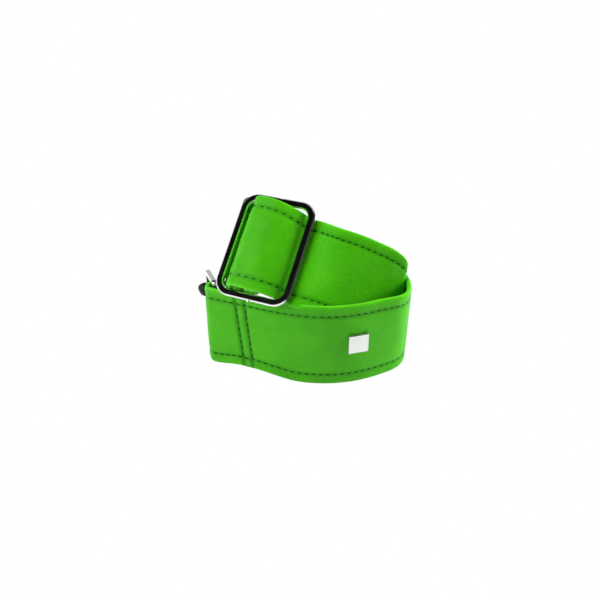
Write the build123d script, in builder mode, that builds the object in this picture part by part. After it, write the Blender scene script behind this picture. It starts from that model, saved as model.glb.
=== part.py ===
"""Martingale collar, rolled up and standing on the lower edge of its strap.  Millimetres, +Z up."""
import os
from math import cos, radians, sin, tan

from build123d import *

os.makedirs("parts", exist_ok=True)

# ---- driving sizes -------------------------------------------------------------------------------
STRAP_WIDTH = 50.8          # two inch strap
LEATHER = 0.8               # each leather skin
CORE = 0.8                  # webbing between the skins
STRAP = 2 * LEATHER + CORE  # whole strap thickness
RIM = 1.2                   # outer leather turned over each edge of the webbing
STITCH_INSET = 6.4          # centre of an edge row from the strap edge
THREAD = 0.8                # thread width
THREAD_RISE = 0.3           # thread standing proud of the leather
SLIP = 0.4                  # clearance beside a strap where it passes through metal
LAY = 0.5                   # clearance between parts that only lie against each other

BAR = 3.6                   # face width of the ring bars
RING_END = 2.6              # face width of their short ends
RING_THICK = 2.5
RING_GAP = 10.0             # between the two long bars of a ring
FOLD_LOW = 3.0              # the lower edge is gathered in by this much inside a ring
FOLD_WIDTH = STRAP_WIDTH - FOLD_LOW
RING_A_LENGTH = FOLD_WIDTH + 2 * SLIP
FOLD_LOW_B = 9.0            # the same at the upper, shorter ring
RING_B_LENGTH = STRAP_WIDTH - FOLD_LOW_B + 2 * SLIP
RING_CORNER = 3.0

SLIDER_BAR = 4.2
SLIDER_THICK = 3.2
SLIDER_LENGTH = STRAP_WIDTH + 2 * (SLIDER_BAR + 1.2)
SLIDER_WIDTH = 45.0
SLIDER_CORNER = 9.5
CENTRE_BAR = 3.0            # diameter

CORD = 3.6                  # control loop, a rolled leather cord
CORD_CORE = 2.0
LEASH_WIRE = 3.0
LEASH_RING = 22.0           # inside diameter

SEAM_AT = (15.3, 21.0)      # cross rows that close the fold, from where the fold lets go

BADGE = 11.6
BADGE_THICK = 1.6
BADGE_BACK = 0.8
BADGE_SEAT = 0.05           # the flat plate on the curve of the strap
BADGE_CURVE = 0.35          # room the curve takes behind it
BADGE_HEIGHT = 26.6
BADGE_RUNS = [(23.6, 0), (200.0, 8.0), (62.9, 32.3)]
RIVET = 1.6

RING_A_TURN = 112.0         # each ring about its strap bar, and its small tilt in the strap
RING_A_TILT = 0.0
RING_B_TURN = 137.0
RING_B_TILT = -2.5
CORD_BEND = 3.2             # centre line
CORD_A_UP = 14.0            # height of the cord on the lower ring, from the ring's middle
SIDE_A = -1
SIDE_B = -1

# ---- where things stand --------------------------------------------------------------------------
FLOOR = Plane.XY
SLIDER_AT = Vector(-21.8, -6.4, 72.3)
ACROSS = Vector(0.297, 0.645, 0.704).normalized()      # long way of the slider
ALONG = (Vector(0.915, -0.40, -0.02) - ACROSS * Vector(0.915, -0.40, -0.02).dot(ACROSS)).normalized()
SLIDER = Plane(origin=SLIDER_AT, x_dir=ALONG, z_dir=ACROSS)   # local y points away from the viewer's side


# ---- drawing helpers -----------------------------------------------------------------------------
def walk(start, heading, runs, shift=0.0, draw=False):
    """Follow straight and round runs, moved sideways to the left by `shift`; return the end pose."""
    x, y = start[0] - sin(radians(heading)) * shift, start[1] + cos(radians(heading)) * shift
    for length, turn in runs:
        step = (cos(radians(heading)), sin(radians(heading)))
        if turn == 0:
            end = (x + step[0] * length, y + step[1] * length)
            if draw:
                Line((x, y), end)
        else:
            radius = length - shift if turn > 0 else length + shift
            side = 1 if turn > 0 else -1
            mid = (x - step[1] * radius * side, y + step[0] * radius * side)
            heading += turn
            end = (mid[0] + sin(radians(heading)) * radius * side,
                   mid[1] - cos(radians(heading)) * radius * side)
            if draw:
                JernArc((x, y), step, radius, turn)
        x, y = end
    return (x, y), heading


def ribbon(base, path, near, far, low, high):
    """Strip that follows `path` between two side shifts, from height `low` to `high` over `base`."""
    with BuildSketch(base.offset(low)) as outline:
        with BuildLine():
            for shift in (near, far):
                walk(*path, shift=shift, draw=True)
            start, heading, runs = path
            end, turned = walk(*path)
            Line(walk(start, heading, [], near)[0], walk(start, heading, [], far)[0])
            Line(walk(end, turned, [], near)[0], walk(end, turned, [], far)[0])
        make_face()
    extrude(outline.sketch, amount=high - low)


def stations_of(spine):
    """Section planes for a twisting strap: origin on the lower edge, x across, y to the right."""
    planes = []
    for i, (low, high) in enumerate(spine):
        across = (high - low).normalized()
        before, after = spine[max(i - 1, 0)], spine[min(i + 1, len(spine) - 1)]
        along = (after[0] + after[1]) - (before[0] + before[1])
        along = (along - across * along.dot(across)).normalized()
        planes.append(Plane(origin=low, x_dir=across, z_dir=along))
    return planes


def twist(planes, outline):
    """Ruled solid through the same outline drawn on every plane."""
    rings = []
    for plane in planes:
        with BuildSketch(plane) as ring:
            with BuildLine():
                Polyline(*outline, close=True)
            make_face()
        rings.append(ring.sketch)
    loft(rings, ruled=True)


def lay_thread(planes, across, out):
    """Straight thread from plane to plane, `across` from the lower edge and `out` from the seen face."""
    points = [plane.from_local_coords(Vector(across, out, 0)) for plane in planes]
    with BuildLine() as run:
        Polyline(*points)
    with BuildSketch(Plane(origin=points[0], z_dir=points[1] - points[0])) as end:
        Circle(THREAD_RISE / 2)
    sweep(end.sketch, path=run.line, transition=Transition.RIGHT)


def bend(points, radius):
    """Closed path through corner points, each corner rounded in the plane of its two sides."""
    corners = []
    for i, point in enumerate(points):
        back = (points[i - 1] - point).normalized()
        ahead = (points[(i + 1) % len(points)] - point).normalized()
        half = back.get_angle(ahead) / 2
        reach = radius / tan(radians(half))
        middle = (back + ahead).normalized()
        apex = point + middle * (radius / sin(radians(half)) - radius)
        corners.append((point + back * reach, apex, point + ahead * reach))
    for i, (start, apex, end) in enumerate(corners):
        Line(corners[i - 1][2], start)
        ThreePointArc(start, apex, end)


def cord(radius):
    """Round cord along the closed control loop, one run at a time."""
    with BuildLine() as path:
        bend(CORD_POINTS, CORD_BEND)
    for edge in path.edges():
        with BuildSketch(Plane(origin=edge @ 0, z_dir=edge % 0)) as end:
            Circle(radius)
        sweep(end.sketch, path=edge)


def box_outline(low, high, near, far):
    return [(low, near), (high, near), (high, far), (low, far)]


# ---- path of the strap ---------------------------------------------------------------------------
# outer run, on FLOOR: tail end, round the lower ring, front, right end, back, turn inwards
FRONT_HEADING = -23.4
FOLD_AT = (-53.8, -12.2)              # where the fold lets go into the front run
WRAP = 2.8 + STRAP                                     # outside radius of the fold on the lower ring
OPEN_ANGLE = 38.0
OPEN_BEND = 6.0
TAIL_GAP = 0.1                                         # sewn faces, just clear of each other
TAIL_RUN = 9.5
TAIL_RAMP = (WRAP * (1 + cos(radians(OPEN_ANGLE))) - OPEN_BEND * (1 - cos(radians(OPEN_ANGLE)))
             - 2 * STRAP - TAIL_GAP) / sin(radians(OPEN_ANGLE))
OUTER_RUNS = [(TAIL_RUN, 0), (OPEN_BEND, -OPEN_ANGLE), (TAIL_RAMP, 0), (WRAP, 180 + OPEN_ANGLE),
              (23.6, 0), (200.0, 8.0), (62.9, 54.7), (26.8, 50.0), (34.0, 90.0), (30.0, 0),
              (7.0, 200.0), (19.3, 0), (22.0, -20.0)]
back_to_fold, _ = walk((0, 0), FRONT_HEADING + 180, OUTER_RUNS[:4])
OUTER_START = (FOLD_AT[0] - back_to_fold[0], FOLD_AT[1] - back_to_fold[1])
OUTER = (OUTER_START, FRONT_HEADING + 180, OUTER_RUNS)
FOLD_FRONT = 17.8                                      # gathered part of the front run
FOLD_PATH = (OUTER_START, FRONT_HEADING + 180, OUTER_RUNS[:4] + [(FOLD_FRONT, 0)])
REST_PATH = (*walk(*FOLD_PATH), [(OUTER_RUNS[4][0] - FOLD_FRONT, 0)] + OUTER_RUNS[5:])

# slider run, on SLIDER: seen face of the strap, under, over and under the bars, round the upper
# ring, back beneath and round the centre bar
RISE_ANGLE = 38.0
UNDER = SLIDER_THICK / 2 + LAY
OVER = CENTRE_BAR / 2 + 0.2 + 2 * STRAP + LAY
BEND_IN, BEND_OVER = 6.0, 11.0
RAMP = (UNDER + OVER - (BEND_IN + BEND_OVER) * (1 - cos(radians(RISE_ANGLE)))) / sin(radians(RISE_ANGLE))
HALF_HUMP = (BEND_IN + BEND_OVER) * sin(radians(RISE_ANGLE)) + RAMP * cos(radians(RISE_ANGLE))
ENTRY = 26.0
RING_RUN = 0.5
WRAP_B = 3.4 + STRAP                                   # outside radius of the fold on the upper ring
WRAP_BAR = CENTRE_BAR / 2 + 0.2 + STRAP
TAIL_DROP = 42.0
TAIL_SLOPE = (UNDER + 2 * WRAP_B - WRAP_BAR - 11.0 * (1 - cos(radians(TAIL_DROP)))) / sin(radians(TAIL_DROP))
TAIL_FLAT = HALF_HUMP + RING_RUN - 11.0 * sin(radians(TAIL_DROP)) - TAIL_SLOPE * cos(radians(TAIL_DROP))
SLIDER_RUNS = [(ENTRY - HALF_HUMP, 0), (BEND_IN, RISE_ANGLE), (RAMP, 0), (BEND_OVER, -2 * RISE_ANGLE),
               (RAMP, 0), (BEND_IN, RISE_ANGLE), (RING_RUN, 0), (WRAP_B, -180.0), (TAIL_FLAT, 0),
               (6.0, -TAIL_DROP), (TAIL_SLOPE, 0), (5.0, TAIL_DROP), (WRAP_BAR, -235.0), (4.5, 0)]
SLIDER_PATH = ((ENTRY, UNDER), 180.0, SLIDER_RUNS)
SEEN_PATH = (SLIDER_PATH[0], SLIDER_PATH[1], SLIDER_RUNS[:7])
BACK_PATH = (*walk(*SEEN_PATH), SLIDER_RUNS[7:])
SLIDER_LOW = -STRAP_WIDTH / 2

# twisting run between them: lower and upper edge of the seen face
turn_end, turn_heading = walk(*OUTER, shift=STRAP)
first = FLOOR.from_local_coords(Vector(*turn_end, 0))
entry_low = SLIDER.from_local_coords(Vector(ENTRY, UNDER, SLIDER_LOW))
SPINE = [(first, first + FLOOR.z_dir * STRAP_WIDTH)]
for low, high in [((41.5, 27.0, 1.8), (42.5, 27.4, 52.6)), ((50.2, 19.5, 3.0), (51.2, 20.0, 53.8)),
                  ((55.5, 6.0, 5.8), (57.0, 8.5, 56.5)), ((54.2, -4.0, 10.8), (57.8, 0.5, 61.3)),
                  ((47.6, -12.5, 18.5), (52.7, 0.0, 67.5)), ((35.8, -19.0, 26.2), (42.8, 1.5, 72.1)),
                  ((22.6, -23.0, 34.3), (30.9, 3.0, 77.1)), ((9.6, -26.2, 42.0), (18.4, 3.3, 82.0))]:
    low, high = Vector(*low), Vector(*high)
    SPINE.append((low, low + (high - low).normalized() * STRAP_WIDTH))
SPINE.append((entry_low, entry_low + ACROSS * STRAP_WIDTH))
SECTIONS = stations_of(SPINE)
SECTIONS[0] = Plane(origin=first, x_dir=FLOOR.z_dir,
                    z_dir=FLOOR.x_dir * cos(radians(turn_heading)) + FLOOR.y_dir * sin(radians(turn_heading)))
SECTIONS[-1] = Plane(origin=entry_low, x_dir=ACROSS, z_dir=-ALONG)

# ---- badge ---------------------------------------------------------------------------------------
badge_spot, badge_heading = walk(FOLD_AT, FRONT_HEADING, BADGE_RUNS)
BADGE_PLANE = Plane(origin=Vector(*badge_spot, BADGE_HEIGHT),
                    x_dir=(cos(radians(badge_heading)), sin(radians(badge_heading)), 0),
                    z_dir=(sin(radians(badge_heading)), -cos(radians(badge_heading)), 0))
with BuildPart() as badge:
    with BuildSketch(BADGE_PLANE.offset(BADGE_SEAT)):
        RectangleRounded(BADGE, BADGE, 0.4)
    extrude(amount=BADGE_THICK)
    chamfer(faces().sort_by(Axis(BADGE_PLANE.origin, BADGE_PLANE.z_dir))[-1].edges(), 0.3)
badge.part.label = "badge_plate"

BACKING_AT = -STRAP - BADGE_CURVE - BADGE_BACK
with BuildPart() as badge_rivets:
    with BuildSketch(BADGE_PLANE.offset(BACKING_AT)):
        with GridLocations(BADGE * 0.55, BADGE * 0.55, 2, 2):
            Circle(RIVET / 2)
    extrude(amount=BADGE_SEAT - BACKING_AT)
badge_rivets.part.label = "badge_rivets"

with BuildPart() as badge_backing:
    with BuildSketch(BADGE_PLANE.offset(BACKING_AT)):
        RectangleRounded(BADGE - 1.5, BADGE - 1.5, 1.0)
        with GridLocations(BADGE * 0.55, BADGE * 0.55, 2, 2):
            Circle(RIVET / 2, mode=Mode.SUBTRACT)
    extrude(amount=BADGE_BACK)
badge_backing.part.label = "badge_backing"

# ---- strap ---------------------------------------------------------------------------------------
TOP = STRAP_WIDTH
HALF = STRAP_WIDTH / 2


def flat_runs(near, far, trim):
    """The untwisted runs of one layer, `trim` mm in from both strap edges."""
    ribbon(FLOOR, FOLD_PATH, near, far, FOLD_LOW + trim, TOP - trim)
    ribbon(FLOOR, REST_PATH, near, far, trim, TOP - trim)
    ribbon(SLIDER, SEEN_PATH, near - STRAP, far - STRAP, trim - HALF, HALF - trim)
    ribbon(SLIDER, BACK_PATH, near - STRAP, far - STRAP, FOLD_LOW_B + trim - HALF, HALF - trim)


def flat_rims(near, far):
    """The turned edges of the outer leather along the same runs."""
    for path, low in ((FOLD_PATH, FOLD_LOW), (REST_PATH, 0)):
        ribbon(FLOOR, path, near, far, low, low + RIM)
        ribbon(FLOOR, path, near, far, TOP - RIM, TOP)
    for path, low in ((SEEN_PATH, 0), (BACK_PATH, FOLD_LOW_B)):
        ribbon(SLIDER, path, near - STRAP, far - STRAP, low - HALF, low + RIM - HALF)
        ribbon(SLIDER, path, near - STRAP, far - STRAP, HALF - RIM, HALF)


with BuildPart() as outer_leather:
    flat_runs(0, LEATHER, 0)
    flat_rims(LEATHER, LEATHER + CORE)
    twist(SECTIONS, [(0, LEATHER), (RIM, LEATHER), (RIM, LEATHER + CORE),
                     (TOP - RIM, LEATHER + CORE), (TOP - RIM, LEATHER),
                     (TOP, LEATHER), (TOP, STRAP), (0, STRAP)])
    add(badge_rivets.part, mode=Mode.SUBTRACT)
outer_leather.part.label = "outer_leather"

with BuildPart() as webbing_core:
    flat_runs(LEATHER, LEATHER + CORE, RIM)
    twist(SECTIONS, box_outline(RIM, TOP - RIM, LEATHER, LEATHER + CORE))
    add(badge_rivets.part, mode=Mode.SUBTRACT)
webbing_core.part.label = "webbing_core"

with BuildPart() as inner_leather:
    flat_runs(LEATHER + CORE, STRAP, 0)
    twist(SECTIONS, box_outline(0, TOP, 0, LEATHER))
    add(badge_rivets.part, mode=Mode.SUBTRACT)
inner_leather.part.label = "inner_leather"

# ---- stitching of the strap: one thread on each face of each edge row, and the cross rows ----------
ROWS = (STITCH_INSET - THREAD / 2, STRAP_WIDTH - STITCH_INSET - THREAD / 2)
EDGE_RUNS = OUTER_RUNS[4:]
EDGE = (FOLD_AT, FRONT_HEADING, EDGE_RUNS)
threads = []
for place, row in zip(("lower", "upper"), ROWS):
    with BuildPart() as outer_row:
        ribbon(FLOOR, EDGE, -THREAD_RISE, 0, row, row + THREAD)
        lay_thread(SECTIONS, row + THREAD / 2, STRAP + THREAD_RISE / 2)
        ribbon(SLIDER, SEEN_PATH, -STRAP - THREAD_RISE, -STRAP, SLIDER_LOW + row, SLIDER_LOW + row + THREAD)
    outer_row.part.label = f"outer_stitch_row_{place}"
    with BuildPart() as inner_row:
        ribbon(FLOOR, EDGE, STRAP, STRAP + THREAD_RISE, row, row + THREAD)
        lay_thread(SECTIONS, row + THREAD / 2, -THREAD_RISE / 2)
        ribbon(SLIDER, SEEN_PATH, 0, THREAD_RISE, SLIDER_LOW + row, SLIDER_LOW + row + THREAD)
    inner_row.part.label = f"inner_stitch_row_{place}"
    threads += [outer_row, inner_row]

fold_left = (-sin(radians(FRONT_HEADING)), cos(radians(FRONT_HEADING)))
fold_ahead = (cos(radians(FRONT_HEADING)), sin(radians(FRONT_HEADING)))
with BuildPart() as fold_seam:
    for along in SEAM_AT:
        spot = (FOLD_AT[0] + fold_ahead[0] * along, FOLD_AT[1] + fold_ahead[1] * along)
        for low, high in ((-THREAD_RISE, 0), (2 * STRAP + TAIL_GAP, 2 * STRAP + TAIL_GAP + THREAD_RISE)):
            ribbon(FLOOR, (spot, FRONT_HEADING, [(THREAD, 0)]), low, high, ROWS[0] + THREAD, ROWS[1])
fold_seam.part.label = "fold_seam_thread"
threads.append(fold_seam)

# ---- rings ---------------------------------------------------------------------------------------
def frame_plane(base, spot, turn, tilt):
    """Plane of a ring: origin at the middle of its strap bar, x to the outer bar, y up."""
    out = base.x_dir * cos(radians(turn)) + base.y_dir * sin(radians(turn))
    up = base.z_dir * cos(radians(tilt)) + out * sin(radians(tilt))
    out = out * cos(radians(tilt)) - base.z_dir * sin(radians(tilt))
    return Plane(origin=base.from_local_coords(Vector(*spot)), x_dir=out, z_dir=out.cross(up))


def bar_ring(plane, length):
    with BuildSketch(plane.offset(-RING_THICK / 2)) as shape:
        with Locations(((RING_GAP + BAR) / 2, 0)):
            RectangleRounded(RING_GAP + 2 * BAR, length + 2 * RING_END, RING_CORNER)
            RectangleRounded(RING_GAP, length, RING_CORNER / 2, mode=Mode.SUBTRACT)
    extrude(shape.sketch, amount=RING_THICK)


RING_A = frame_plane(FLOOR, (FOLD_AT[0] + fold_left[0] * WRAP, FOLD_AT[1] + fold_left[1] * WRAP,
                             (STRAP_WIDTH + FOLD_LOW) / 2), RING_A_TURN, RING_A_TILT)
ring_b_spot = (-HALF_HUMP - RING_RUN, UNDER + WRAP_B, FOLD_LOW_B / 2)
RING_B = frame_plane(SLIDER, ring_b_spot, RING_B_TURN, RING_B_TILT)
with BuildPart() as lower_ring:
    bar_ring(RING_A, RING_A_LENGTH)
lower_ring.part.label = "lower_ring"
with BuildPart() as upper_ring:
    bar_ring(RING_B, RING_B_LENGTH)
upper_ring.part.label = "upper_ring"

# ---- slider --------------------------------------------------------------------------------------
SLIDER_FACE = Plane(origin=SLIDER_AT, x_dir=ALONG, z_dir=-SLIDER.y_dir)
face_axis = Axis(SLIDER_AT, SLIDER_FACE.z_dir)
with BuildPart() as slider_frame:
    with BuildSketch(SLIDER_FACE.offset(-SLIDER_THICK / 2)):
        RectangleRounded(SLIDER_WIDTH, SLIDER_LENGTH, SLIDER_CORNER)
        RectangleRounded(SLIDER_WIDTH - 2 * SLIDER_BAR, SLIDER_LENGTH - 2 * SLIDER_BAR,
                         SLIDER_CORNER - SLIDER_BAR, mode=Mode.SUBTRACT)
    extrude(amount=SLIDER_THICK)
    chamfer(faces().sort_by(face_axis)[-1].edges() + faces().sort_by(face_axis)[0].edges(), 0.7)
    with BuildSketch(SLIDER.offset(-SLIDER_LENGTH / 2)):
        Circle(CENTRE_BAR / 2)
    extrude(amount=SLIDER_LENGTH, mode=Mode.SUBTRACT)
slider_frame.part.label = "slider_frame"

with BuildPart() as slider_bar:
    with BuildSketch(SLIDER.offset(-SLIDER_LENGTH / 2 + 0.6)):
        Circle(CENTRE_BAR / 2)
    extrude(amount=SLIDER_LENGTH - 1.2)
slider_bar.part.label = "slider_centre_bar"

# ---- control loop and its leash ring ---------------------------------------------------------------
def on_ring(plane, out, side, up):
    return plane.from_local_coords(Vector(out, up, side))


FREE_A = (WRAP + RING_GAP + BAR / 2) / 2               # middle of the gap left beside the fold
FREE_B = (WRAP_B + RING_GAP + BAR / 2) / 2
BAR_PASS = RING_THICK / 2 + LAY + CORD / 2 + 0.3
BEYOND_A = 2 * (RING_GAP + BAR) - FREE_A
TOP_BAR = (RING_B_LENGTH + RING_END) / 2
END_PASS = RING_END / 2 + LAY + CORD / 2 + 0.3
CORD_POINTS = [on_ring(RING_A, FREE_A, SIDE_A * BAR_PASS, CORD_A_UP),
               on_ring(RING_A, BEYOND_A, SIDE_A * BAR_PASS, CORD_A_UP),
               on_ring(RING_A, BEYOND_A, -SIDE_A * 12, CORD_A_UP),
               on_ring(RING_B, FREE_B, -SIDE_B * 12, TOP_BAR + END_PASS),
               on_ring(RING_B, FREE_B, SIDE_B * BAR_PASS, TOP_BAR + END_PASS),
               on_ring(RING_B, FREE_B, SIDE_B * BAR_PASS, TOP_BAR - END_PASS),
               on_ring(RING_B, FREE_B, -SIDE_B * 12, TOP_BAR - END_PASS),
               Vector(-2, 6, 30), Vector(-20, 8, 24),
               on_ring(RING_A, FREE_A, -SIDE_A * 12, CORD_A_UP)]
with BuildPart() as control_core:
    cord(CORD_CORE / 2)
control_core.part.label = "control_loop_core"
with BuildPart() as control_loop:
    cord(CORD / 2)
    add(control_core.part, mode=Mode.SUBTRACT)
control_loop.part.label = "control_loop_leather"

hang = (CORD_POINTS[7] + CORD_POINTS[8]) / 2
hang_along = (CORD_POINTS[8] - CORD_POINTS[7]).normalized()
hang_side = Vector(0, 0, 1).cross(hang_along).normalized()
LEASH_PLANE = Plane(origin=hang - Vector(0, 0, (LEASH_RING - CORD) / 2 - 2 * LAY),
                    x_dir=hang_side, z_dir=Vector(0, 0, 1).cross(hang_side))
with BuildPart() as leash_ring:
    with BuildSketch(Plane(origin=LEASH_PLANE.origin + hang_side * (LEASH_RING + LEASH_WIRE) / 2,
                           x_dir=hang_side, z_dir=Vector(0, 0, 1))) as leash_end:
        Circle(LEASH_WIRE / 2)
    revolve(leash_end.sketch, axis=Axis(LEASH_PLANE.origin, LEASH_PLANE.z_dir))
leash_ring.part.label = "leash_ring"

# ---- placing: the origin is the middle of the footprint, on the table ------------------------------
BODY = [outer_leather, inner_leather, lower_ring, upper_ring, slider_frame, control_loop, leash_ring, badge]
lows = [piece.part.bounding_box().min for piece in BODY]
highs = [piece.part.bounding_box().max for piece in BODY]
SHIFT = -Vector((min(v.X for v in lows) + max(v.X for v in highs)) / 2,
                (min(v.Y for v in lows) + max(v.Y for v in highs)) / 2, min(v.Z for v in lows))
print("hinges", RING_A.origin + SHIFT, RING_B.origin + SHIFT, hang + SHIFT, LEASH_PLANE.z_dir)

# ---- files ---------------------------------------------------------------------------------------
PIECES = [outer_leather, webbing_core, inner_leather, *threads, lower_ring, upper_ring, slider_frame,
          slider_bar, control_loop, control_core, leash_ring, badge, badge_rivets, badge_backing]
for piece in PIECES:
    export_step(piece.part.moved(Location(SHIFT)), f"parts/{piece.part.label}.step")
    print(piece.part.label, round(piece.part.volume), len(piece.part.solids()), piece.part.is_valid)
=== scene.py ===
# %% [markdown]
# # Martingale collar, rolled up
# A wide green leather strap stands rolled on its edge.  Its left end is folded round a flat ring, the other
# end comes back over the roll through an adjusting slider, and a rolled cord links the two flat rings.
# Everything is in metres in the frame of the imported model.

from math import cos, exp, pi, radians, sin

import bmesh
import bpy
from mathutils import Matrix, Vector, noise


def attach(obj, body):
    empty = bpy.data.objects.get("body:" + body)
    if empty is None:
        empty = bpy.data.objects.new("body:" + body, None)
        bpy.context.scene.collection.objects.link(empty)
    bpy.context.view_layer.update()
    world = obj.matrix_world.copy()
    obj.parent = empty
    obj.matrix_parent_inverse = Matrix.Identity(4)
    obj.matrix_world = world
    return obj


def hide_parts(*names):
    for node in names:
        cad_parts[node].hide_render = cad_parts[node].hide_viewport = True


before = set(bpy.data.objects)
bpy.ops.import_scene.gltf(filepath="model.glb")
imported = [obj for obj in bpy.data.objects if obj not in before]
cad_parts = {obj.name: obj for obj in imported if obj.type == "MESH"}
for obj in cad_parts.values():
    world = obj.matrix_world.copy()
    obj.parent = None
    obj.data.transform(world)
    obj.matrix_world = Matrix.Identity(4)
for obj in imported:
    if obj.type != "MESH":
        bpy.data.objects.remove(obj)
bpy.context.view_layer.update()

# %% [markdown]
# ## Driving sizes
# The same strap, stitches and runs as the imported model, in metres.

# %% Sizes
MM = 0.001
STRAP_WIDTH = 50.8 * MM
STRAP = 2.4 * MM
STITCH_INSET = 6.4 * MM
STITCH_PITCH = 4.1 * MM
STITCH_LENGTH = 2.9 * MM
STITCH_WIDTH = 0.85 * MM
FOLD_LOW, FOLD_LOW_B = 3.0 * MM, 9.0 * MM      # the lower edge is gathered in at each ring
SAMPLE = 0.9 * MM                              # spacing of the strap's cross-sections
ORIGIN = Vector((1.29874, -1.37857, 0.0)) * MM  # middle of the footprint, from the runs' own origin

# %% [markdown]
# ## The way the strap runs
# The outer run lies flat on the table plane, the slider run in the slider's leaning plane, and a twisting
# run joins them.  Each run is straight and round stretches: (length, 0) or (radius, turn in degrees).

# %% Runs
SLIDER_AT = Vector((-21.8, -6.4, 72.3)) * MM
ACROSS = Vector((0.297, 0.645, 0.704)).normalized()
ALONG = Vector((0.915, -0.40, -0.02))
ALONG = (ALONG - ACROSS * ALONG.dot(ACROSS)).normalized()
BEHIND = ACROSS.cross(ALONG)

FRONT_HEADING = -23.4
FOLD_AT = Vector((-53.8, -12.2))
WRAP, OPEN_ANGLE, OPEN_BEND, TAIL_RUN = 5.2, 38.0, 6.0, 9.5
TAIL_RAMP = (WRAP * (1 + cos(radians(OPEN_ANGLE))) - OPEN_BEND * (1 - cos(radians(OPEN_ANGLE)))
             - 4.9) / sin(radians(OPEN_ANGLE))
TAIL_RUNS = [(TAIL_RUN, 0), (OPEN_BEND, -OPEN_ANGLE), (TAIL_RAMP, 0), (WRAP, 180 + OPEN_ANGLE)]
FRONT_RUNS = [(23.6, 0), (200.0, 8.0), (62.9, 54.7), (26.8, 50.0), (34.0, 90.0), (30.0, 0),
              (7.0, 200.0), (19.3, 0), (22.0, -20.0)]

RISE, BEND_IN, BEND_OVER, UNDER, OVER = 44.0, 6.0, 24.0, 2.1, 9.0
RAMP = (UNDER + OVER - (BEND_IN + BEND_OVER) * (1 - cos(radians(RISE)))) / sin(radians(RISE))
CLIMB = (BEND_IN + BEND_OVER) * sin(radians(RISE)) + RAMP * cos(radians(RISE))
NEAR_BAR, FAR_BAR = 20.5, 17.9                 # where it leaves the plane of the slider at each side
ENTRY, WRAP_B, WRAP_BAR, DROP = 26.0, 5.8, 4.1, 42.0
SLOPE = (UNDER + 2 * WRAP_B - WRAP_BAR - 11.0 * (1 - cos(radians(DROP)))) / sin(radians(DROP))
FLAT = FAR_BAR + 0.5 - 11.0 * sin(radians(DROP)) - SLOPE * cos(radians(DROP))
PLUNGE, EDGE_BEND, BEND_OUT = 84.0, 5.0, 4.0   # steeper at the far bar than where it comes in
DIVE = (UNDER + OVER - (BEND_OUT + EDGE_BEND) * (1 - cos(radians(PLUNGE)))) / sin(radians(PLUNGE))
CREST = (NEAR_BAR + FAR_BAR - CLIMB - (BEND_OUT + EDGE_BEND) * sin(radians(PLUNGE))
         - DIVE * cos(radians(PLUNGE)))
SEEN_RUNS = [(ENTRY - NEAR_BAR, 0), (BEND_IN, RISE), (RAMP, 0), (BEND_OVER, -RISE), (CREST, 0),
             (EDGE_BEND, -PLUNGE), (DIVE, 0), (BEND_OUT, PLUNGE), (0.5, 0)]
BACK_RUNS = [(WRAP_B, -180.0), (FLAT, 0), (6.0, -DROP), (SLOPE, 0), (5.0, DROP), (WRAP_BAR, -235.0),
             (4.5, 0)]


def walk(start, heading, runs, step=SAMPLE):
    """Points and headings every `step` along straight and round runs."""
    here, points = Vector(start), []
    for size, turn in runs:
        length = size * MM if turn == 0 else size * MM * radians(abs(turn))
        count = max(1, round(length / step))
        for _ in range(count):
            points.append((here.copy(), heading))
            half = turn / count / 2
            chord = length / count if turn == 0 else 2 * size * MM * sin(radians(abs(half)))
            here += Vector((cos(radians(heading + half)), sin(radians(heading + half)))) * chord
            heading += turn / count
    return points, (here, heading)


# the tail is walked once from nowhere to find where it starts, so that it ends at the fold
_, (reach, _) = walk((0, 0), FRONT_HEADING + 180, TAIL_RUNS)
tail, _ = walk(FOLD_AT * MM - reach, FRONT_HEADING + 180, TAIL_RUNS)
front, front_end = walk(FOLD_AT * MM, FRONT_HEADING, FRONT_RUNS)
seen, seen_end = walk(Vector((ENTRY, UNDER)) * MM, 180.0, SEEN_RUNS)
back, _ = walk(seen_end[0], seen_end[1], BACK_RUNS)


def upright(points, low):
    """Stations of the outer run: (lower edge, across, left) with the lower edge on the outer face."""
    stations = []
    for (point, heading), base in zip(points, low):
        left = Vector((-sin(radians(heading)), cos(radians(heading)), 0))
        stations.append((Vector((point.x, point.y, base)), Vector((0, 0, 1)), left, STRAP_WIDTH - base))
    return stations


def leaning(points, low):
    """Stations of the slider run; its points follow the seen face."""
    stations = []
    for (point, heading), base in zip(points, low):
        left = ALONG * -sin(radians(heading)) + BEHIND * cos(radians(heading))
        edge = SLIDER_AT + ALONG * point.x + BEHIND * point.y + ACROSS * (base - STRAP_WIDTH / 2)
        stations.append((edge - left * STRAP, ACROSS, left, STRAP_WIDTH - base))
    return stations


def ease(index, first, last):
    """0 to 1, smoothly, as index goes from first to last."""
    x = min(max((index - first) / (last - first), 0), 1)
    return x * x * (3 - 2 * x)


gather_until = round(17.8 * MM / SAMPLE)
wrap_left = round(WRAP * MM * radians(75) / SAMPLE)       # the part of the fold in front of the ring
outer_run = upright(tail, [FOLD_LOW - 2.2 * MM * ease(i, len(tail) - wrap_left, len(tail))
                           for i in range(len(tail))])
outer_run += upright(front, [FOLD_LOW * (1 - ease(i, gather_until + 8, gather_until + 40))
                             - 2.2 * MM * (1 - ease(i, 0, gather_until)) for i in range(len(front))])
seen_run = leaning(seen, [0.0] * len(seen))
for i, (edge, across, left, width) in enumerate(seen_run):
    full = ease(i, 6, len(seen) - 20)
    slipped = (-2.3 + 1.5 * ease(i, 0, 14)) * MM
    seen_run[i] = (edge + ACROSS * slipped, across, left, width + 2.8 * MM * full)
ring_gone = round(WRAP_B * MM * pi / SAMPLE)    # past the upper ring the strap spreads again
back_run = leaning(back, [FOLD_LOW_B * ease(i, -6, 6) - 8.5 * MM * ease(i, ring_gone - 6, ring_gone + 5)
                          for i in range(len(back))])
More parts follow.
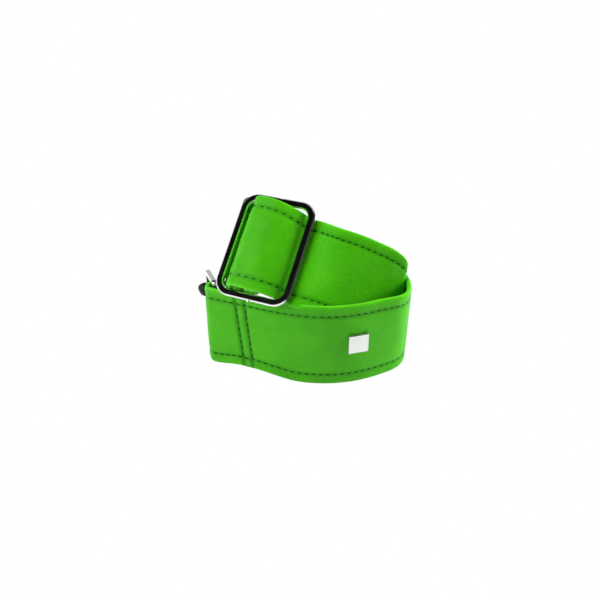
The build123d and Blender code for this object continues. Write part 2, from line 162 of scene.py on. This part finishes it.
for i, (edge, across, left, width) in enumerate(back_run):
    back_run[i] = (edge - ACROSS * 0.8 * MM, across, left, width + 2.8 * MM * (1 - ease(i, 4, 16)))

PRESS, LEAN = 2.0 * MM, 4.2 * MM               # the right end is pressed in, more at its upper edge
press_from, press_to = len(tail) + round(96 * MM / SAMPLE), len(tail) + round(156 * MM / SAMPLE)
for i in range(press_from, len(outer_run)):
    edge, across, left, width = outer_run[i]
    middle = (press_from + press_to) // 2
    amount = ease(i, press_from, middle) * (1 - ease(i, middle, press_to + 20))
    across = (across * STRAP_WIDTH - Vector((0, LEAN * amount, 0))).normalized()
    left = (left - across * left.dot(across)).normalized()
    outer_run[i] = (edge - Vector((0, PRESS * amount, 0)), across, left, width)

# the twisting run: lower and upper edge of the seen face at a few places, joined by a smooth curve
TWIST = [((41.5, 27.0, 1.8), (42.5, 27.4, 52.6)), ((50.2, 19.5, 3.0), (51.2, 20.0, 53.8)),
         ((56.0, 6.0, 5.8), (57.5, 8.5, 56.5)), ((55.0, -4.0, 11.0), (58.6, 0.5, 61.5)),
         ((47.6, -12.5, 18.6), (52.7, 0.0, 67.1)), ((35.8, -19.0, 26.5), (42.8, 1.5, 71.8)),
         ((22.6, -23.0, 34.5), (30.9, 3.0, 76.1)), ((9.6, -26.2, 41.4), (18.4, 3.3, 79.8))]
first_edge, first_across, first_left, _ = outer_run[-1]
low_knots = [first_edge + first_left * STRAP]
high_knots = [low_knots[0] + first_across * STRAP_WIDTH]
for low, high in TWIST:
    low, high = Vector(low) * MM, Vector(high) * MM
    low_knots.append(low)
    high_knots.append(low + (high - low).normalized() * STRAP_WIDTH)
low_knots.append(seen_run[0][0] + seen_run[0][2] * STRAP)
high_knots.append(low_knots[-1] + ACROSS * STRAP_WIDTH)


def smooth_curve(knots, count):
    """`count` points per gap on a curve through the knots."""
    points = []
    for i in range(len(knots) - 1):
        a = knots[max(i - 1, 0)]
        b, c = knots[i], knots[i + 1]
        d = knots[min(i + 2, len(knots) - 1)]
        for k in range(count):
            t = k / count
            points.append(b + 0.5 * t * (c - a + t * (2 * a - 5 * b + 4 * c - d + t * (3 * (b - c) + d - a))))
    return points


lows, highs = smooth_curve(low_knots, 14), smooth_curve(high_knots, 14)
twist_run = []
for i in range(1, len(lows)):
    across = (highs[i] - lows[i]).normalized()
    j = min(i + 1, len(lows) - 1)
    ahead = (lows[j] + highs[j]) - (lows[i - 1] + highs[i - 1])
    left = across.cross(ahead - across * ahead.dot(across)).normalized()
    twist_run.append((lows[i] - left * STRAP, across, left, STRAP_WIDTH))

stations = outer_run + twist_run + seen_run + back_run
JOIN = len(outer_run) + len(twist_run)


def soften(run, first, last, times):
    """Evens out the stations between two indices, so that the runs flow into each other."""
    for _ in range(times):
        old = list(run)
        for i in range(first, last):
            edge = (old[i - 1][0] + old[i][0] * 2 + old[i + 1][0]) / 4
            across = (old[i - 1][1] + old[i][1] * 2 + old[i + 1][1]).normalized()
            left = old[i - 1][2] + old[i][2] * 2 + old[i + 1][2]
            left = (left - across * left.dot(across)).normalized()
            run[i] = (edge, across, left, old[i][3])


soften(stations, JOIN - 30, JOIN + 3, 30)
soften(stations, len(outer_run) - 12, JOIN - 30, 12)
stations = [(edge + ORIGIN, across, left, width) for edge, across, left, width in stations]
lengths = [0.0]
for i in range(1, len(stations)):
    lengths.append(lengths[-1] + (stations[i][0] + stations[i][1] * STRAP_WIDTH / 2 - stations[i - 1][0]
                                  - stations[i - 1][1] * STRAP_WIDTH / 2).length)
FOLD_END = lengths[len(tail)]
SLIDER_MIDDLE = lengths[JOIN + len(seen) // 2]
print("strap stations:", len(stations), "strap length (m):", round(lengths[-1], 3))

# %% [markdown]
# ## Materials
# Each material is made of procedural nodes and reads the piece's own coordinates.

# %% Material helpers
def new_material(name):
    material = bpy.data.materials.new(name)
    material.use_nodes = True
    tree = material.node_tree
    return material, tree, tree.nodes["Principled BSDF"]


def node(tree, kind, **sockets):
    made = tree.nodes.new(kind)
    for key, value in sockets.items():
        made.inputs[key.replace("_", " ")].default_value = value
    return made


def ramp(tree, source, stops):
    made = tree.nodes.new("ShaderNodeValToRGB")
    made.color_ramp.elements[0].position, made.color_ramp.elements[0].color = stops[0]
    made.color_ramp.elements[1].position, made.color_ramp.elements[1].color = stops[-1]
    for position, colour in stops[1:-1]:
        made.color_ramp.elements.new(position).color = colour
    tree.links.new(source, made.inputs["Fac"])
    return made.outputs["Color"]


def leather(name, base, light, dark, grain=0.00075):
    """Coated leather: fine pebbled grain, faint mottling, a soft sheen on the high spots, and painted shade
    in the stitch grooves with a painted highlight along the edges, read from a vertex attribute.
    """
    material, tree, shader = new_material(name)
    place = tree.nodes.new("ShaderNodeTexCoord").outputs["Object"]
    mottle = node(tree, "ShaderNodeTexNoise", Scale=55.0, Detail=4.0, Roughness=0.6)
    pebble = node(tree, "ShaderNodeTexVoronoi", Scale=1.0 / grain)
    crease = node(tree, "ShaderNodeTexNoise", Scale=420.0, Detail=5.0, Roughness=0.65, Distortion=0.4)
    for texture in (mottle, pebble, crease):
        tree.links.new(place, texture.inputs["Vector"])
    colour = ramp(tree, mottle.outputs["Fac"], [(0.3, dark), (0.5, base), (0.72, light)])
    # Painted light: a vertex attribute, low in the stitch grooves and high along the strap's edges, becomes a
    # factor from painted shade to painted highlight that is multiplied into the leather colour.
    painted_light_attribute = tree.nodes.new("ShaderNodeAttribute")
    painted_light_attribute.attribute_name = "painted_shade_and_highlight"
    shade = ramp(tree, painted_light_attribute.outputs["Fac"],
                 [(0.0, (0.22, 0.36, 0.3, 1)), (0.5, (0.66, 0.72, 0.5, 1)), (1.0, (1, 1, 1, 1))])
    mixed = tree.nodes.new("ShaderNodeMixRGB")
    mixed.blend_type = "MULTIPLY"
    mixed.inputs["Fac"].default_value = 1.0
    tree.links.new(colour, mixed.inputs["Color1"])
    tree.links.new(shade, mixed.inputs["Color2"])
    tree.links.new(mixed.outputs["Color"], shader.inputs["Base Color"])
    gloss = ramp(tree, crease.outputs["Fac"], [(0.3, (0.38, 0.38, 0.38, 1)), (0.7, (0.58, 0.58, 0.58, 1))])
    tree.links.new(gloss, shader.inputs["Roughness"])
    pebbled = node(tree, "ShaderNodeBump", Strength=0.55, Distance=0.00030)
    tree.links.new(pebble.outputs["Distance"], pebbled.inputs["Height"])
    creased = node(tree, "ShaderNodeBump", Strength=0.60, Distance=0.0006)
    tree.links.new(crease.outputs["Fac"], creased.inputs["Height"])
    tree.links.new(pebbled.outputs["Normal"], creased.inputs["Normal"])
    tree.links.new(creased.outputs["Normal"], shader.inputs["Normal"])
    shader.inputs["Specular IOR Level"].default_value = 0.22
    shader.inputs["Sheen Weight"].default_value = 0.22
    shader.inputs["Sheen Roughness"].default_value = 0.35
    shader.inputs["Sheen Tint"].default_value = (0.75, 1.0, 0.6, 1)
    return material


def metal(name, tint, rough, brushed=0.0):
    """Polished plated metal with faint handling marks."""
    material, tree, shader = new_material(name)
    place = tree.nodes.new("ShaderNodeTexCoord").outputs["Object"]
    smear = node(tree, "ShaderNodeTexNoise", Scale=160.0, Detail=3.0)
    tree.links.new(place, smear.inputs["Vector"])
    low, high = rough, rough + 0.06 + brushed
    marks = ramp(tree, smear.outputs["Fac"], [(0.35, (low, low, low, 1)), (0.7, (high, high, high, 1))])
    tree.links.new(marks, shader.inputs["Roughness"])
    shader.inputs["Base Color"].default_value = tint
    shader.inputs["Metallic"].default_value = 1.0
    return material


def thread(name, colour, light):
    """Twisted polyester thread: fine slanting ridges."""
    material, tree, shader = new_material(name)
    place = tree.nodes.new("ShaderNodeTexCoord").outputs["Object"]
    twist = node(tree, "ShaderNodeTexWave", Scale=900.0, Distortion=1.5)
    twist.bands_direction = "DIAGONAL"
    tree.links.new(place, twist.inputs["Vector"])
    twisted = ramp(tree, twist.outputs["Fac"], [(0.2, colour), (0.8, light)])
    tree.links.new(twisted, shader.inputs["Base Color"])
    shader.inputs["Roughness"].default_value = 0.8
    shader.inputs["Specular IOR Level"].default_value = 0.08
    return material


# %% Materials
GREEN = leather("green leather", (0.090, 0.620, 0.0024, 1), (0.110, 0.680, 0.0040, 1),
                (0.078, 0.570, 0.0016, 1))
CORD_LEATHER = leather("black cord leather", (0.012, 0.012, 0.012, 1), (0.02, 0.02, 0.02, 1),
                       (0.006, 0.006, 0.006, 1))
THREAD = thread("dark green thread", (0.001, 0.050, 0.001, 1), (0.004, 0.110, 0.003, 1))
NICKEL = metal("polished nickel", (0.90, 0.90, 0.91, 1), 0.06)
PLATE = metal("plain plate metal", (0.80, 0.80, 0.79, 1), 0.30, 0.1)
for name in ("slider_frame", "slider_centre_bar", "lower_ring", "upper_ring", "leash_ring"):
    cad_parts[name].data.materials.clear()
    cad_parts[name].data.materials.append(NICKEL)
    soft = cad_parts[name].modifiers.new("soft edges", "BEVEL")
    soft.width, soft.segments, soft.limit_method, soft.angle_limit = 0.35 * MM, 3, "ANGLE", radians(28)
for name in ("badge_plate", "badge_rivets", "badge_backing"):
    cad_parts[name].data.materials.clear()
    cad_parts[name].data.materials.append(PLATE)
print("materials:", [m.name for m in (GREEN, THREAD, NICKEL, PLATE)])

# %% [markdown]
# ## The strap
# A closed strip with soft rounded edges.  The two stitch rows pull a shallow groove into each face, the
# padding between them swells a little, and slow ripples keep the faces from looking machined.

# %% Strap surface
SEAMS, SLANT = (16.0 * MM, 21.8 * MM), 3.7 * MM   # the cross rows lean over by SLANT
BETWEEN = 34                                   # points across each face
EDGE_POINTS = 6                                # points round each edge
GROOVE_REACH = 1.0 * MM                        # half width of the pull of a stitch row


def groove(w, width):
    """Depth of the pull of the stitch rows at w across a strap `width` wide."""
    depth = 0.0
    for row in (STITCH_INSET, width - STITCH_INSET):
        depth += 0.45 * MM * exp(-((w - row) / GROOVE_REACH) ** 2)
    return depth


def seam_groove(distance, w, width):
    """Depth of the pull of the two slanting rows that close the fold."""
    depth = 0.0
    for seam in SEAMS:
        off = distance - FOLD_END - seam - SLANT * (1 - (w - STITCH_INSET) / (width - 2 * STITCH_INSET))
        depth += 0.7 * MM * exp(-(off / GROOVE_REACH) ** 2)
    return depth


def swell(w, width):
    """Rise of the padding between the rows."""
    t = min(max((w - STITCH_INSET) / (width - 2 * STITCH_INSET), 0), 1)
    return 0.28 * MM * (4 * t * (1 - t)) ** 0.5


def section(width):
    """Outline of the strap: (across, out of mid-thickness, face) going once round."""
    half, outline = STRAP / 2, []
    for i in range(BETWEEN + 1):
        outline.append((half + (width - 2 * half) * i / BETWEEN, half, 1))
    for i in range(1, EDGE_POINTS):
        angle = pi / 2 - pi * i / EDGE_POINTS
        outline.append((width - half + half * cos(angle), half * sin(angle), 0))
    for i in range(BETWEEN + 1):
        outline.append((width - half - (width - 2 * half) * i / BETWEEN, -half, -1))
    for i in range(1, EDGE_POINTS):
        angle = -pi / 2 - pi * i / EDGE_POINTS
        outline.append((half + half * cos(angle), half * sin(angle), 0))
    return outline


def strap_point(i, w, out, face):
    """Place on the strap's skin at station i."""
    edge, across, left, width = stations[i]
    if face:
        ripple = noise.noise(Vector((lengths[i] * 38, w * 52, 3.1 * face))) * 0.16 * MM
        near = max(0.0, 1 - abs(lengths[i] - SLIDER_MIDDLE) / (26 * MM))
        ripple += noise.noise(Vector((lengths[i] * 70, w * 120, 7.7 * face))) * 0.8 * MM * near
        ripple += noise.noise(Vector((lengths[i] * 260, w * 520, 2.9 * face))) * 0.16 * MM * near
        ripple *= min(1.0, w / (3 * MM), (width - w) / (3 * MM))
        pull = groove(w, width) + (seam_groove(lengths[i], w, width) if face < 0 else 0)
        out += face * (swell(w, width) * (0.4 + 0.8 * near) - pull) + ripple
    return edge + left * (STRAP / 2 + out) + across * w


def strip(name, first, last):
    """Closed strip between two stations; each vertex carries a value for painted shade in the stitch grooves
    and a painted highlight along the edges.
    """
    mesh = bpy.data.meshes.new(name)
    strap = bpy.data.objects.new(name, mesh)
    bpy.context.collection.objects.link(strap)
    bm = bmesh.new()
    # per-vertex value for the painted light of the leather material
    painted_shade_and_highlight = bm.verts.layers.float.new("painted_shade_and_highlight")
    rings = []
    for i in range(first, last):
        width, ring = stations[i][3], []
        for w, out, face in section(width):
            vert = bm.verts.new(strap_point(i, w, out, face))
            # Painted light: lower where the stitch rows and fold seams pull a groove (painted shade), higher
            # within 1.8 mm of either edge (painted highlight).
            pull = (groove(w, width) + (seam_groove(lengths[i], w, width) if face < 0 else 0)) / (0.6 * MM)
            rim = max(0.0, 1 - min(w, width - w) / (1.8 * MM))
            vert[painted_shade_and_highlight] = min(max(0.5 - 0.5 * pull + 0.5 * rim, 0), 1)
            ring.append(vert)
        rings.append(ring)
    around = len(rings[0])
    for r in range(len(rings) - 1):
        for k in range(around):
            quad = (rings[r][k], rings[r + 1][k], rings[r + 1][(k + 1) % around], rings[r][(k + 1) % around])
            bm.faces.new(quad)
    bm.faces.new(rings[0])
    bm.faces.new(reversed(rings[-1]))
    bmesh.ops.recalc_face_normals(bm, faces=bm.faces)
    for face in bm.faces:
        face.smooth = True
    bm.to_mesh(mesh)
    bm.free()
    mesh.materials.append(GREEN)
    return strap


strap = strip("strap", 0, len(stations))
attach(strap, "strap")
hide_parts("outer_leather", "inner_leather", "webbing_core")
print("strap faces:", len(strap.data.polygons))

# %% [markdown]
# ## Stitches
# One stitch is a small rounded pill.  It is copied along each row, lying in the groove of the leather.

# %% Stitch rows
def pill(bm, centre, along, out, length, width):
    """Adds one stitch: a flattened pill whose ends dip into the leather."""
    side = along.cross(out).normalized()
    rings = []
    for t, size in ((-0.5, 0.35), (-0.36, 0.85), (0.0, 1.0), (0.36, 0.85), (0.5, 0.35)):
        dip = -0.30 * MM * (2 * abs(t)) ** 2
        middle = centre + along * t * length + out * dip
        rings.append([bm.verts.new(middle + side * cos(a) * width / 2 * size
                                   + out * sin(a) * width * 0.42 * size)
                      for a in (k * pi / 4 for k in range(8))])
    for r in range(4):
        for k in range(8):
            bm.faces.new((rings[r][k], rings[r][(k + 1) % 8], rings[r + 1][(k + 1) % 8], rings[r + 1][k]))
    bm.faces.new(rings[0])
    bm.faces.new(reversed(rings[-1]))


def at_length(distance):
    """Station index, and the fraction to the next, at a distance along the strap."""
    low, high = 0, len(lengths) - 2
    while low < high:
        middle = (low + high + 1) // 2
        low, high = (middle, high) if lengths[middle] <= distance else (low, middle - 1)
    return low, min(max((distance - lengths[low]) / (lengths[low + 1] - lengths[low]), 0), 1)


def on_face(distance, w, face):
    """Point, direction along and direction out on one face of the strap."""
    i, f = at_length(distance)
    near = strap_point(i, w, face * STRAP / 2, face)
    far = strap_point(i + 1, w, face * STRAP / 2, face)
    here, along = near.lerp(far, f), (far - near).normalized()
    out = (stations[i][2].lerp(stations[i + 1][2], f) * face).normalized()
    return here, along, out


def finish_stitches(bm, name, replaced):
    """Makes the collected stitches one piece of thread on the strap."""
    mesh = bpy.data.meshes.new(name)
    bmesh.ops.recalc_face_normals(bm, faces=bm.faces)
    for face in bm.faces:
        face.smooth = True
    bm.to_mesh(mesh)
    bm.free()
    mesh.materials.append(THREAD)
    row = bpy.data.objects.new(name, mesh)
    bpy.context.collection.objects.link(row)
    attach(row, "strap")
    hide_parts(replaced)


def stitch_row(place, face, start, stop):
    """Stitches along one edge of one face."""
    bm, distance, count = bmesh.new(), start, 0
    while distance < stop:
        i, _ = at_length(distance)
        w = STITCH_INSET if place == "lower" else stations[i][3] - STITCH_INSET
        here, along, out = on_face(distance, w, face)
        pill(bm, here + out * 0.16 * MM, along, out, STITCH_LENGTH, STITCH_WIDTH)
        distance += STITCH_PITCH
        count += 1
    side = "inner" if face > 0 else "outer"
    finish_stitches(bm, f"{side}_stitches_{place}", f"{side}_stitch_row_{place}")
    return count


ROW_END = lengths[JOIN + len(seen) - 1]
total = 0
for place in ("lower", "upper"):
    for face in (1, -1):
        total += stitch_row(place, face, FOLD_END + 1 * MM, ROW_END)
print("edge stitches:", total)

# %% Cross rows that close the fold
bm = bmesh.new()
for seam in SEAMS:
    i, _ = at_length(FOLD_END + seam)
    width = stations[i][3]
    count = round((width - 2 * STITCH_INSET - 2 * MM) / STITCH_PITCH)
    for k in range(count):
        w = STITCH_INSET + 2.4 * MM + STITCH_PITCH * k
        slant = SLANT * (1 - (w - STITCH_INSET) / (width - 2 * STITCH_INSET))
        here, along, out = on_face(FOLD_END + seam + slant, w, -1)
        pill(bm, here + out * 0.10 * MM, stations[i][1], out, STITCH_LENGTH, STITCH_WIDTH)
        pill(bm, here - out * (2 * STRAP + 0.1 * MM), stations[i][1], -out, STITCH_LENGTH, STITCH_WIDTH)
finish_stitches(bm, "fold_seam_stitches", "fold_seam_thread")
print("cross rows:", len(SEAMS))

# %% [markdown]
# ## Control loop
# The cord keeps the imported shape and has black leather.

# %% Cord materials
for name in ("control_loop_leather", "control_loop_core"):
    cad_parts[name].data.materials.clear()
    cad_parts[name].data.materials.append(CORD_LEATHER)

# %% [markdown]
# ## Light, floor and camera
# A pale floor and a white world seen only by the camera and in reflections; soft panels light the leather,
# and dark cards stand outside the view so that the polished bars have something to mirror.

# %% Surroundings
def white_for_camera(tree, lit, kind, output):
    """Shows pure white to the camera and `lit` to everything else."""
    path = tree.nodes.new("ShaderNodeLightPath")
    plain = tree.nodes.new(kind)
    plain.inputs["Color"].default_value = (1, 1, 1, 1)
    plain.inputs["Strength"].default_value = 1.0
    mix = tree.nodes.new("ShaderNodeMixShader")
    tree.links.new(path.outputs["Is Camera Ray"], mix.inputs["Fac"])
    tree.links.new(lit, mix.inputs[1])
    tree.links.new(plain.outputs[0], mix.inputs[2])
    tree.links.new(mix.outputs[0], tree.nodes[output].inputs["Surface"])


world = bpy.data.worlds.new("studio")
bpy.context.scene.world = world
world.use_nodes = True
tree = world.node_tree
tree.nodes["Background"].inputs["Color"].default_value = (1, 1, 1, 1)
tree.nodes["Background"].inputs["Strength"].default_value = 0.50
towards = tree.nodes.new("ShaderNodeSeparateXYZ")
tree.links.new(tree.nodes.new("ShaderNodeTexCoord").outputs["Generated"], towards.inputs[0])
around = ramp(tree, towards.outputs["Y"], [(0.12, (0.10, 0.10, 0.10, 1)), (0.42, (1, 1, 1, 1))])
tree.links.new(around, tree.nodes["Background"].inputs["Color"])
white_for_camera(tree, tree.nodes["Background"].outputs[0], "ShaderNodeBackground", "World Output")

floor_material, tree, shader = new_material("pale floor")
shader.inputs["Base Color"].default_value = (0.86, 0.86, 0.86, 1)
shader.inputs["Roughness"].default_value = 0.8
white_for_camera(tree, shader.outputs[0], "ShaderNodeEmission", "Material Output")

bpy.ops.object.select_all(action="DESELECT")
bpy.ops.mesh.primitive_plane_add(size=3.0, location=(0, 0, -0.0002))
floor = bpy.context.object
floor.name = "floor"
floor.data.materials.append(floor_material)

card_material, tree, shader = new_material("dark card")
shader.inputs["Base Color"].default_value = (0.004, 0.004, 0.004, 1)
shader.inputs["Specular IOR Level"].default_value = 0.0


def card(name, place, size):
    """Dark card facing the collar."""
    bpy.ops.object.select_all(action="DESELECT")
    bpy.ops.mesh.primitive_plane_add(size=1.0, location=place)
    made = bpy.context.object
    made.name = name
    made.scale = (size[0], size[1], 1)
    made.rotation_euler = (Vector((0, 0, 0.05)) - Vector(place)).to_track_quat("Z", "Y").to_euler()
    made.data.materials.append(card_material)


card("card for the slider", (-0.33, -0.14, 0.52), (0.40, 0.36))
card("card for the rings", (-0.50, -0.30, 0.10), (0.30, 0.20))


def panel(name, place, size, power, shines, aim=(0, 0, 0.04)):
    """Soft rectangular light; `shines` lets it show in polished pieces."""
    light = bpy.data.lights.new(name, "AREA")
    light.shape, light.size, light.size_y, light.energy = "RECTANGLE", size[0], size[1], power
    lamp = bpy.data.objects.new(name, light)
    lamp.location = place
    lamp.rotation_euler = (Vector(aim) - Vector(place)).to_track_quat("-Z", "Y").to_euler()
    lamp.visible_glossy = shines
    bpy.context.collection.objects.link(lamp)


panel("key", (-0.60, -0.25, 0.28), (0.30, 0.30), 5.0, shines=True)
panel("top", (-0.30, 0.00, 0.75), (0.25, 0.25), 5.0, shines=False)
panel("right", (0.62, 0.05, 0.28), (0.40, 0.40), 6.0, shines=False)

# %% Camera
camera = bpy.data.cameras.new("camera")
camera.lens, camera.sensor_width = 41.58, 36.0
eye = bpy.data.objects.new("camera", camera)
eye.location = (-0.0017, -0.3534, 0.238)
eye.rotation_euler = (radians(60.2), 0, 0)
bpy.context.collection.objects.link(eye)
bpy.context.scene.camera = eye
bpy.context.scene.view_settings.view_transform = "Standard"
